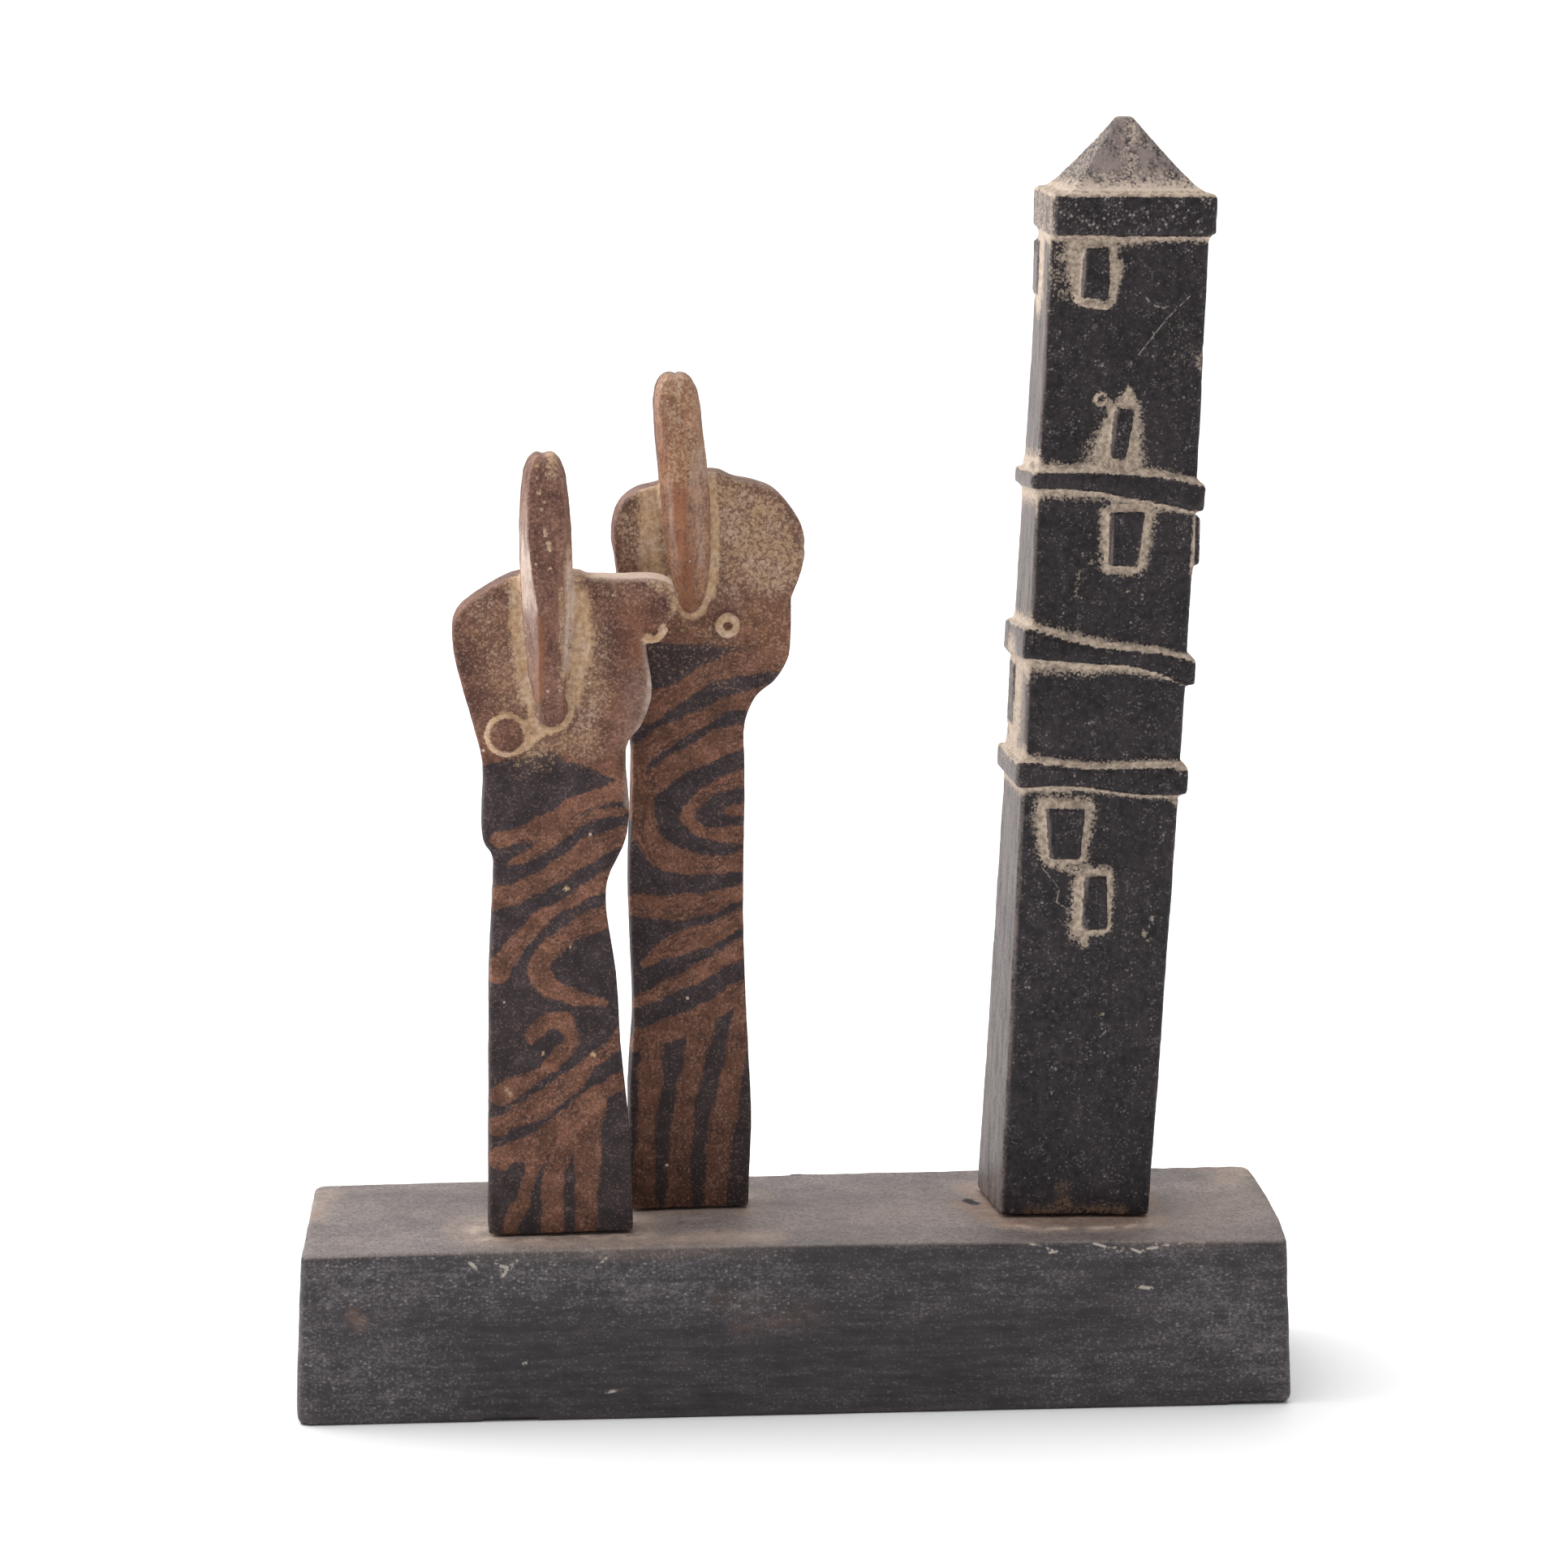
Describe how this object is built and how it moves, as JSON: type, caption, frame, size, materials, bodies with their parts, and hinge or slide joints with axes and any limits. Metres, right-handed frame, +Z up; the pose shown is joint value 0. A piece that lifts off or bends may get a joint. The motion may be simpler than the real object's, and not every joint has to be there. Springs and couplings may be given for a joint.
{
  "type": "stoneware figure sculpture",
  "caption": "Abstract stoneware sculpture: marbled slab figures with crested, beaked heads and a leaning black tower with a pyramid roof, fixed on a long dark block.",
  "frame": {"origin": "middle of the block's flat underside, where the sculpture stands", "axes": "+Z up; the faces, noses and windows look along -Y; +X runs along the block from the figures to the tower"},
  "size_m": [0.241, 0.06, 0.3075],
  "materials": {
    "base_clay": "matte",
    "front_figure_clay": "matte",
    "back_figure_clay": "matte",
    "tower_clay": "matte"
  },
  "bodies": {
    "root": {"base": "base_clay", "front_figure": "front_figure_clay", "back_figure": "back_figure_clay", "tower": "tower_clay"}
  },
  "joints": []
}
